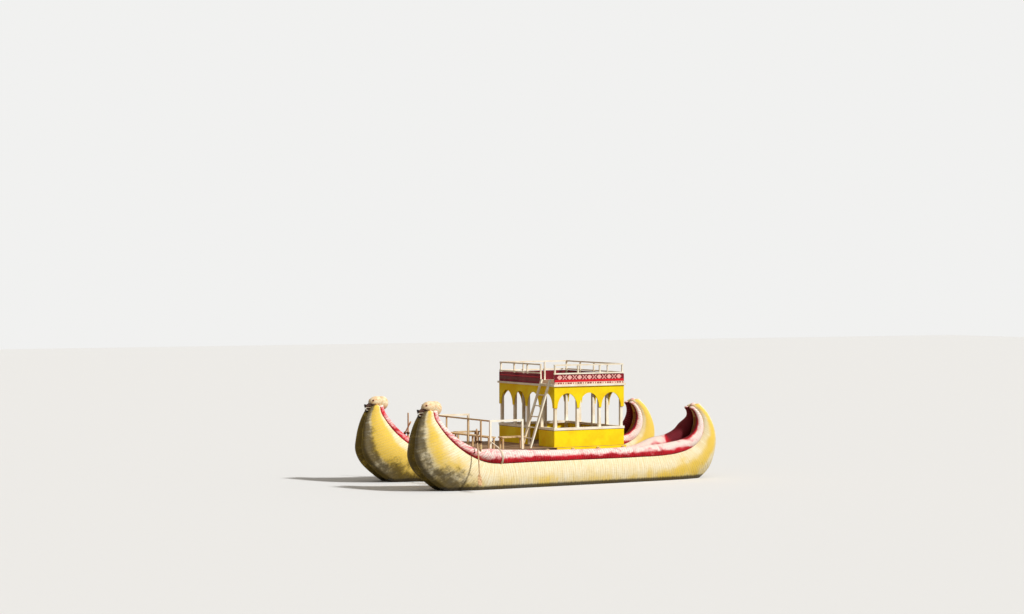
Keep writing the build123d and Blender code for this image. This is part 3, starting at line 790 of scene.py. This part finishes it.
def mould(name, balls, voxel, look, shapes=None, **kept):
    """One smooth form from overlapping ellipsoids, (centre, radii), and a Builder's shapes."""
    draft = bmesh.new()
    if shapes:
        corners = [draft.verts.new(v) for v in shapes.verts]
        for face in shapes.faces:
            draft.faces.new([corners[i] for i in face])
    for centre, radii in balls:
        place = Matrix.Translation(centre) @ Matrix.Diagonal((*radii, 1))
        bmesh.ops.create_icosphere(draft, subdivisions=3, radius=1, matrix=place)
    mesh = bpy.data.meshes.new(name + "_draft")
    draft.to_mesh(mesh)
    draft.free()
    rough = add_object(mesh.name, mesh)
    remesh = rough.modifiers.new("remesh", "REMESH")
    remesh.mode, remesh.voxel_size = "VOXEL", voxel
    even = rough.modifiers.new("even", "SMOOTH")
    even.factor, even.iterations = 0.5, SMOOTHING_PASSES
    moulded = rough.evaluated_get(bpy.context.evaluated_depsgraph_get())
    done = bpy.data.meshes.new_from_object(moulded)
    verts = [tuple(v.co) for v in done.vertices]
    faces = [tuple(f.vertices) for f in done.polygons]
    bpy.data.objects.remove(rough)
    bpy.data.meshes.remove(mesh)
    bpy.data.meshes.remove(done)
    add_piece(name, verts, faces, look, **kept)


def fluted_ball(builder, centre, radii, axis, flutes, twist, depth, rows=28, tilt=0.0):
    """An ellipsoid of reeds gathered at two poles, with one groove between reeds."""
    nod = Matrix.Rotation(radians(tilt), 3, "Y")
    turn = UPRIGHT.rotation_difference(Vector(axis)).to_matrix()
    count = flutes * POINTS_PER_FLUTE
    rings = []
    for i in range(rows + 1):
        polar = pi * (0.01 + 0.98 * i / rows)
        ring = []
        for k in range(count):
            around = tau * k / count
            groove = 1 - depth * sin(polar) * (0.5 - 0.5 * cos(flutes * around)) ** 3
            wound = around + twist * polar
            spot = Vector((sin(polar) * cos(wound), sin(polar) * sin(wound), cos(polar)))
            spot = turn @ (spot * groove)
            sized = Vector((spot.x * radii[0], spot.y * radii[1], spot.z * radii[2]))
            ring.append(Vector(centre) + nod @ sized)
        rings.append(ring[::-1])
    builder.grid(rings)


def build_teeth(hull, at):
    """Two rows of teeth on each side of the mouth, the front pair of each row longer."""
    teeth = Builder()
    for across in (-1, 1):
        for i in range(TEETH_A_SIDE):
            x, y = 5.235 - 0.036 * i, across * (0.058 + 0.007 * i)
            upper = (2.414, -0.056 if i == 0 else -0.034, 0.017, 1)
            lower = (2.304, 0.044 if i == 0 else 0.026, 0.014, 0.86)
            for foot, drop, thick, inward in (upper, lower):
                path = [at(x, y * inward, foot + drop * share) for share in (0, 0.5, 1)]
                teeth.tube(path, [thick, thick * 0.75, thick * 0.15])
    teeth.piece(f"{hull}_teeth", "tooth")


def build_eyes(hull, side, at):
    eyes, lids = Builder(), Builder()
    for across in (-1, 1):
        spot = Vector(at(5.03, across * 0.132, 2.625))
        way = Vector((0.5, side * across * 0.85, 0.2)).normalized()
        fluted_ball(eyes, spot, (0.020, 0.017, 0.020), way, 8, 0, 0, rows=12)
        aside = way.orthogonal().normalized()
        other = way.cross(aside)
        rim = [spot + way * 0.004 + (aside * c + other * s) * 0.025 for c, s in circle(20)]
        lids.tube(rim, 0.008, sides=6, closed=True)
    eyes.piece(f"{hull}_eyes", "nose")
    lids.piece(f"{hull}_eyelids", "lid")


def build_head(hull, side):
    """An animal head as if carved: knotted nape, brow lobe, snout, jaws, teeth and eyes."""
    def at(x, y, z):
        return (x, side * (HULL_Y + y), z)

    cap = Builder()
    fluted_ball(cap, at(4.66, 0, 2.53), (0.205, 0.22, 0.225), (0.35, 0, 1), 26, 0.5, 0.05)
    fluted_ball(cap, at(4.895, 0, 2.59), (0.24, 0.185, 0.16), (1, 0, 0.1), 22, 0.25, 0.05, tilt=16)
    mould(f"{hull}_cap_reeds", [(at(4.78, 0, 2.57), (0.15, 0.185, 0.17))], 0.0105, "knot",
          shapes=cap, replaces=(f"{hull}_prow_head",))
    for name, look, voxel, part, balls in HEAD_FORMS:
        balls = [(at(*centre), radii) for centre, radii in balls]
        replaced = (f"{hull}_{part}",) if part else ()
        mould(f"{hull}_{name}", balls, voxel, look, replaces=replaced)
    build_teeth(hull, at)
    build_eyes(hull, side, at)
    ties = Builder()
    loop = [at(4.945 + 0.185 * c, 0.178 * s, 2.478 + 0.045 * c) for c, s in circle(40)]
    ties.tube(loop, 0.010, sides=6, closed=True)
    ties.piece(f"{hull}_head_ties", "dark_rope")


def build_stern_knot(hull, side):
    """The knot that closes the stern's crest."""
    centre = hull_points(STATIONS[-1], [(0, 0.03)], side)[0]
    knot = Builder()
    fluted_ball(knot, centre, (0.11, 0.1, 0.1), (1, 0, 1), 16, 0.6, 0.05, rows=18)
    knot.piece(f"{hull}_stern_knot", "tip", replaces=(f"{hull}_stern_tip",))


# ---- oars and gear

COLLAR = (3.39, 2.4, 1.49)
FOOT_ROPE = (3.39, 2.4, 1.33)
OAR_BESIDE = 0.115
OAR_DOWN = Vector((tan(radians(14)), tan(radians(30)), -1)).normalized()
OAR_ABOVE, OAR_BELOW, OAR_OVERLAP, BLADE = 0.45, 1.05, 0.16, 0.46
SHAFT_STEPS, BLADE_STEPS, HELIX_STEPS = 26, 18, 18

# The lashing round a beam's end, as steps across and up from the beam's middle
BEAM_LOOP = (
    (0.0, 0.044), (0.045, 0.03), (0.06, -0.01), (0.05, -0.05), (0.0, -0.075), (-0.05, -0.05),
    (-0.06, 0.0),
)
BRACE_FOOT, BRACE_HEAD, BRACE_LASHING_X = (2.62, 2.2, 1.25), (2.67, 1.765, 1.43), 2.63


def helix(centre, axis, start, radius, turns, pitch):
    """Points of a rope wound round an axis."""
    axis, start = Vector(axis).normalized(), Vector(start).normalized()
    other = axis.cross(start)
    points = []
    for k in range(int(turns * HELIX_STEPS) + 1):
        turn = tau * k / HELIX_STEPS
        points.append(
            Vector(centre) + axis * pitch * (k / HELIX_STEPS - turns / 2)
            + (start * cos(turn) + other * sin(turn)) * radius
        )
    return points


def mirrored(v, side):
    return Vector((v[0], side * v[1], v[2]))


def build_oar(hull, side):
    """One oar's shaft, blade and binding, on the body that dips with it."""
    body = f"{hull}_oar"
    down = mirrored(OAR_DOWN, side)
    pivot = mirrored(COLLAR, side) + Vector((OAR_BESIDE, 0, 0))
    flat = Vector((-OAR_DOWN.z, 0, OAR_DOWN.x)).normalized()
    thick = down.cross(flat)
    shaft, path, radii = Builder(), [], []
    reach = OAR_ABOVE + OAR_BELOW + OAR_OVERLAP
    for k in range(SHAFT_STEPS + 1):
        t = -OAR_ABOVE + reach * k / SHAFT_STEPS
        sway = flat * 0.003 * sin(5 * t + side) + thick * 0.003 * cos(4 * t)
        path.append(pivot + down * t + sway)
        radii.append(0.0225 - 0.003 * (k / SHAFT_STEPS) + (0.004 if k < 2 else 0))
    shaft.tube(path, radii, sides=12)
    shaft.piece(f"{hull}_oar_pole", "pole", body=body, replaces=(f"{hull}_oar_shaft",))
    blade, rings = Builder(), []
    for k in range(BLADE_STEPS + 1):
        t = k / BLADE_STEPS
        half = 0.074 * (ease(-0.12, 0.45, t) * (1 - 0.9 * ease(0.9, 1.04, t)))
        deep = 0.0105 * (1 - 0.45 * t)
        ring = []
        for c, s in circle(16):
            ridge = 1 + 0.5 * max(0, 1 - abs(c) * 4) * (1 - t)
            ring.append(
                pivot + down * (OAR_BELOW + BLADE * t) + flat * half * c
                + thick * deep * ridge * (abs(s) ** 0.6) * (1 if s >= 0 else -1)
            )
        rings.append(ring)
    blade.grid(rings)
    blade.piece(f"{hull}_oar_paddle", "pole", body=body, replaces=(f"{hull}_oar_blade",))
    lashing = Builder()
    lashing.tube(helix(pivot, down, flat, 0.034, 3.2, 0.021), 0.0105)
    lashing.piece(f"{hull}_oar_binding", "dark_rope", body=body,
                  replaces=(f"{hull}_oar_lashing",))


def build_post_ropes(hull, side):
    """The loop that turns on the thole post and carries the oar, and the rope below it."""
    centre = mirrored(COLLAR, side)
    collar = Builder()
    collar.tube(helix(centre, UPRIGHT, FORWARD, 0.0435, 3, 0.021), 0.011)
    knot = ((0.05, 0, 0.002), (0.058, 0, 0), (0.066, 0, 0))
    collar.tube([centre + Vector(step) for step in knot], 0.011)
    collar.piece(f"{hull}_thole_loop", "dark_rope", body=f"{hull}_swivel",
                 replaces=(f"{hull}_rope_collar",))
    binding = Builder()
    binding.tube(helix(mirrored(FOOT_ROPE, side), UPRIGHT, FORWARD, 0.037, 7, 0.019), 0.0095)
    binding.piece(f"{hull}_thole_foot_rope", "rope")


def build_brace(hull, side):
    """A brace pole from the rail panel's foot to the roll, and its lashing round the roll."""
    brace = Builder()
    foot, head = mirrored(BRACE_FOOT, side), mirrored(BRACE_HEAD, side)
    radii = [0.022, 0.021, 0.022, 0.02, 0.021, 0.022, 0.018]
    brace.tube([head + (foot - head) * k / 6 for k in range(7)], radii)
    brace.piece(f"{hull}_panel_brace", "white")
    lashing, outline = Builder(), roll_outline(OUTER_RISE, side)
    middles = np.array([middle_line(station)[0] for station in STATIONS])
    along = float(np.interp(-BRACE_LASHING_X, -middles, LENGTHS))
    for turn in range(4):
        station, points, _ = section_ring(along + 0.022 * turn, outline, 1, 0.008)
        lashing.tube(hull_points(station, points[:-1], side), 0.010, sides=6)
    lashing.piece(f"{hull}_roll_lashing", "pale_rope")


def build_beam_lashings(hull, side):
    """Three turns of rope round the end of each crossbeam."""
    ends = Builder()
    seat, middle = side * (BEAM_END - 0.06), BEAM_TOP - 0.035
    for x in BEAM_XS:
        for turn in range(3):
            spot = x - 0.032 + 0.032 * turn
            loop = [(spot, seat + dy, middle + dz) for dy, dz in BEAM_LOOP]
            ends.tube(loop, 0.009, sides=6, closed=True)
    ends.piece(f"{hull}_beam_lashings", "rope")


# ---- wood and painted nodes

# The painted pattern: its looks, how far the paint stands proud, and heights above the
# parapet's foot
PATTERN = {
    "motifs": "motif", "stripes": "stripe", "pale_row": "pale_stripe", "dashes": "band",
    "fret": "fret",
}
PAINT, PALE_PAINT, DASH_PAINT = 0.003, 0.0022, 0.0042
STRIPE, PALE_ROW, DASH_ROW = (0.078, 0.15), (0.004, 0.074), (0.016, 0.062)
FRONT_STRIPE, FRET_ROW, FRET_PITCH, FRET_HALF = (0.205, 0.225), (0.075, 0.165), 0.09, 0.02
MOTIF_MIDDLE, MOTIF_PITCH, FACE_MARGIN = 0.225, 0.37, 0.012
DIAMOND_LONG, DIAMOND_HIGH = 0.1, 0.068
ARM = (
    (0.004, 0.004), (0.024, 0.002), (0.078, 0.052), (0.078, 0.072), (0.052, 0.072), (0.002, 0.018),
)

# Finishes of the CAD's parts, with words in their names; the first that fits counts, or reed
NODE_LOOKS = (
    ("yellow", "dado arches"), ("white", "posts"), ("band", "parapet"),
    ("dark_rope", "lashing collar"), ("pole", "thole oar"), ("dyed", "roll crest tip"),
    ("cross_wood", "crossbeams front_rail bench_front"), ("wood", "bench"),
    ("deck", "deck floor"), ("white", "rail ladder ledge sills"),
)


def wall_frames():
    """The cabin's four faces: origin at the face's middle, its run, its way out and length."""
    (x0, _, _), (x1, half, _) = (Vector(v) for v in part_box("parapet_port"))
    (_, front_low, _), (_, front_high, _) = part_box("parapet_front")
    middle, front_middle = (x0 + x1) / 2, (front_low + front_high) / 2
    faces = {
        "port": ((middle, half), (-1, 0, 0), x1 - x0),
        "stbd": ((middle, -half), (1, 0, 0), x1 - x0),
        "aft": ((x0, 0), (0, -1, 0), 2 * half),
        "front": ((x1, front_middle), (0, 1, 0), front_high - front_low),
    }
    return {
        name: (Vector((*origin, 0)), Vector(run), Vector(run).cross(UPRIGHT), length)
        for name, (origin, run, length) in faces.items()
    }


def inlay(builder, wall, shape, proud):
    """A thin flat shape on a wall: its outline in run and height, raised by proud."""
    origin, run, out = wall
    base = [origin + run * u + UPRIGHT * v for u, v in shape]
    cu, cv = (sum(values) / len(shape) for values in zip(*shape))
    top = [
        origin + run * (cu + (u - cu) * 0.94) + UPRIGHT * (cv + (v - cv) * 0.94) + out * proud
        for u, v in shape
    ]
    builder.grid([[p - out * 0.001 for p in base], [p + out * proud * 0.6 for p in base], top])


def strip(builder, wall, left, right, low, high, proud):
    inlay(builder, wall, [(left, low), (right, low), (right, high), (left, high)], proud)


def paint_motifs(builder, wall, half, count, step, mid):
    """Diamonds, with a cross between each two."""
    for k in range(count):
        u = -half + (k + 0.5) * step
        diamond = [
            (u + DIAMOND_LONG * cos(a) * (1 - 0.3 * abs(sin(2 * a))), mid + DIAMOND_HIGH * sin(a))
            for a in (tau * j / 16 for j in range(16))
        ]
        inlay(builder, wall, diamond, PAINT)
        if k == count - 1:
            continue
        v = u + step / 2
        for way in (-1, 1):
            for side in (-1, 1):
                arm = [(v + side * a, mid + way * b) for a, b in ARM]
                inlay(builder, wall, arm[::side * way], PAINT)


def build_pattern():
    """Painted motifs on the parapet: diamonds and crosses over a stripe and a row of dashes.

    The front has a darker fret of upright strokes instead."""
    z0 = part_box("parapet_port")[0][2]
    rows = {name: Builder() for name in PATTERN}
    motif, stripe, pale_row, dashes, fret = rows.values()

    def heights(pair):
        return z0 + pair[0], z0 + pair[1]

    for face, (*wall, length) in wall_frames().items():
        half = length / 2 - FACE_MARGIN
        if face == "front":
            strip(stripe, wall, -half, half, *heights(FRONT_STRIPE), PAINT)
            count = round(2 * half / FRET_PITCH)
            for k in range(count):
                u = -half + (k + 0.5) * 2 * half / count
                strip(fret, wall, u - FRET_HALF, u + FRET_HALF, *heights(FRET_ROW), PAINT)
            continue
        count = round(2 * half / MOTIF_PITCH)
        step = 2 * half / count
        paint_motifs(motif, wall, half, count, step, z0 + MOTIF_MIDDLE)
        strip(stripe, wall, -half, half, *heights(STRIPE), PAINT)
        strip(pale_row, wall, -half, half, *heights(PALE_ROW), PALE_PAINT)
        small = step / 4
        for k in range(count * 4):
            u = -half + (k + 0.5) * small
            wide = 0.036 if k % 4 in (1, 2) else 0.016
            strip(dashes, wall, u - wide, u + wide, *heights(DASH_ROW), DASH_PAINT)
    for name, look in PATTERN.items():
        rows[name].piece(f"parapet_{name}", look, smooth=False)


def build_wall_trim():
    """A painted shadow strip under each sill, and boards along the floor's edges down to the rolls.
    """
    # Painted shadow strips where the sills overhang the dado
    seam, proud = Builder(), 0.003
    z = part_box("window_sills")[0][2]
    for name in ("dado_port", "dado_stbd", "dado_aft", "dado_front_port", "dado_front_stbd"):
        (x0, y0, _), (x1, y1, _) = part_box(name)
        seam.bar((x0 - proud, y0 - proud, z - 0.016), (x1 + proud, y1 + proud, z - 0.001), 0.001)
    seam.piece("sill_shadow_strips", "shade", smooth=False)
    boards, thick = Builder(), 0.015
    low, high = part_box("cabin_floor")
    x1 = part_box("dado_port")[1][0]
    for edge in (low[1] - 0.016, high[1] + 0.001):
        boards.bar((low[0] + 0.01, edge, DECK_Z - 0.10), (x1, edge + thick, DECK_Z - 0.002))
    boards.piece("floor_edge_boards", "yellow", smooth=False)


def build_nails():
    """Nail heads where the planks cross the beams."""
    nails = Builder()
    for x in BEAM_XS:
        for k in range(FOREDECK_PLANKS):
            y = -DECK_HALF + 2 * DECK_HALF * (k + 0.5) / FOREDECK_PLANKS
            for shift in (-0.07, 0.07):
                at = Vector((x, y + shift, DECK_Z))
                path = [at + Vector((0, 0, rise)) for rise in (-0.002, 0.0015, 0.0025)]
                nails.tube(path, [0.006, 0.006, 0.004])
    nails.piece("deck_nails", "nail")


def dress_nodes():
    """Finishes for the CAD's own parts, some of which a piece here stands for."""
    for name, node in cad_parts.items():
        fits = [look for look, words in NODE_LOOKS if any(word in name for word in words.split())]
        look = (fits + ["reed"])[0]
        if len(node.data.materials) == 0:
            node.data.materials.append(MATERIALS[look])
        for place in node.material_slots:
            place.material = MATERIALS[look]


# ---- studio

FLOOR_SIZE = 150
FLOOR_SEEN = (0.80, 0.80, 0.79, 1)
FLOOR_BOUNCE = (0.14, 0.14, 0.14, 1)
FILL_COLOUR, FILL_STRENGTH = (1.0, 0.93, 0.84, 1), 0.34
BACKDROP = (0.88, 0.88, 0.87, 1)
SUN_STRENGTH, SUN_SIZE, SUN_TILT, SUN_TURN = 3.5, 5, 50, 212


def make_camera():
    data = bpy.data.cameras.new("camera")
    data.lens = CAMERA_LENS
    data.sensor_fit = "HORIZONTAL"
    data.sensor_width = CAMERA_SENSOR
    data.clip_end = 500
    camera = add_object("camera", data)
    around = radians(CAMERA_AZIMUTH)
    camera.location = (CAMERA_DISTANCE * cos(around), CAMERA_DISTANCE * sin(around), CAMERA_HEIGHT)
    yaw = around + pi + radians(CAMERA_PAN) - pi / 2
    camera.rotation_euler = Euler((pi / 2 + radians(CAMERA_PITCH), 0, yaw), "XYZ")
    bpy.context.scene.camera = camera


def seen_ray(tree):
    """1 for the rays that show the background: camera, glossy and transmission rays."""
    path = add_node(tree, "LightPath", {}).outputs
    total = path["Is Camera Ray"]
    for kind in ("Is Glossy Ray", "Is Transmission Ray"):
        either = add_node(tree, "Math", {0: total, 1: path[kind]}, operation="MAXIMUM")
        total = either.outputs[0]
    return total


def make_floor():
    """A pale floor to look at, which throws little light back under the hulls."""
    mesh = bpy.data.meshes.new("floor")
    corners = [(x * FLOOR_SIZE, y * FLOOR_SIZE, 0) for x, y in ((-1, -1), (1, -1), (1, 1), (-1, 1))]
    mesh.from_pydata(corners, [], [(0, 1, 2, 3)])
    floor = add_object("floor", mesh)
    n = Nodes("floor", roughness=0.9, specular=0.1)
    mesh.materials.append(n.finish(n.mix(seen_ray(n.tree), FLOOR_BOUNCE, FLOOR_SEEN)))


def make_lights():
    """A sun to port and abaft the beam, a warm fill, and a pale backdrop that lights nothing."""
    world = bpy.data.worlds.new("studio")
    bpy.context.scene.world = world
    world.use_nodes = True
    tree = world.node_tree
    fill, output = tree.nodes["Background"], tree.nodes["World Output"]
    fill.inputs[0].default_value = FILL_COLOUR
    fill.inputs[1].default_value = FILL_STRENGTH
    backdrop = add_node(tree, "Background", {0: BACKDROP}).outputs[0]
    shares = {0: seen_ray(tree), 1: fill.outputs[0], 2: backdrop}
    tree.links.new(add_node(tree, "MixShader", shares).outputs[0], output.inputs[0])
    sun = bpy.data.lights.new("key", "SUN")
    sun.energy = SUN_STRENGTH
    sun.angle = radians(SUN_SIZE)
    key = add_object("key", sun)
    key.rotation_euler = Euler((radians(SUN_TILT), 0, radians(SUN_TURN)), "XYZ")


dress_nodes()
for hull, side, seed in (("port", 1, 11), ("stbd", -1, 41)):
    build_hull(hull, side, seed)
    build_head(hull, side)
    build_oar(hull, side)
    build_post_ropes(hull, side)
    build_brace(hull, side)
    build_beam_lashings(hull, side)
    build_stern_knot(hull, side)
build_pattern()
build_wall_trim()
build_nails()
make_camera()
make_floor()
make_lights()
bpy.context.scene.view_settings.view_transform = "Standard"
